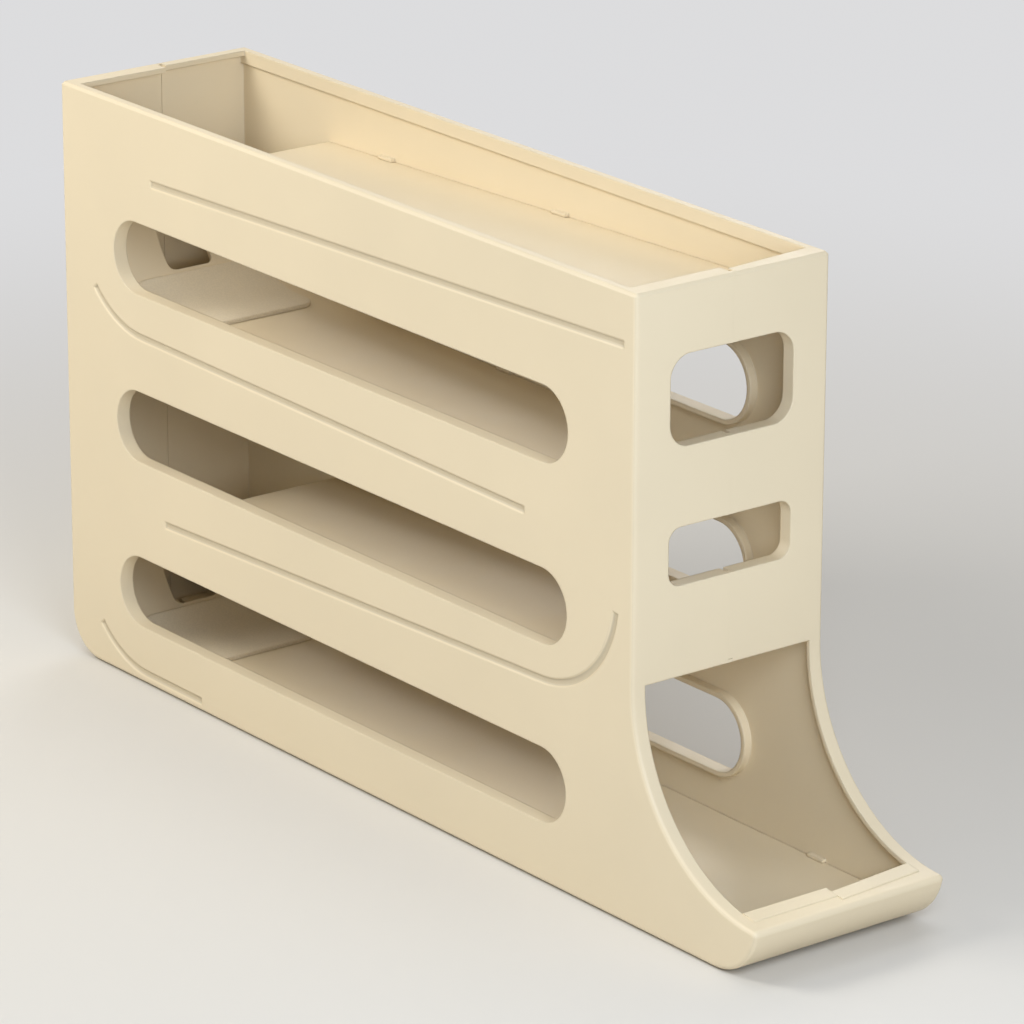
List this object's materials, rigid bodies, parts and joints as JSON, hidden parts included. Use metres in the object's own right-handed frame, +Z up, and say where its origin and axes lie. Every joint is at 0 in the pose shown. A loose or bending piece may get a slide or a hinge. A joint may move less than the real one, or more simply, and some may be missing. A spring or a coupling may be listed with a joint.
{
  "type": "egg holder",
  "caption": "Slim upright egg holder for a fridge shelf: eggs roll down sloping ramps inside a slotted case of half shells and stop behind the lip of a low open mouth.",
  "frame": {"origin": "on the floor, under the middle of the box round the whole holder", "axes": "+X across the width to the right shell, +Y from the mouth to the back, +Z up"},
  "size_m": [0.08, 0.3879, 0.2145],
  "materials": {
    "case_plastic": "cream moulded plastic, fine satin surface",
    "ramp_plastic": "cream moulded plastic, fine satin surface",
    "soft_pad": "off-white closed-cell foam sheet",
    "foot_rubber": "milky silicone, matt"
  },
  "bodies": {
    "root": {"left_shell": "case_plastic", "right_shell": "case_plastic", "top_ramp": "ramp_plastic", "second_ramp": "ramp_plastic", "third_ramp": "ramp_plastic", "bottom_ramp": "ramp_plastic", "second_ramp_pad": "soft_pad", "third_ramp_pad": "soft_pad", "bottom_ramp_pad": "soft_pad", "front_left_foot": "foot_rubber", "front_right_foot": "foot_rubber", "back_left_foot": "foot_rubber", "back_right_foot": "foot_rubber"}
  },
  "joints": []
}
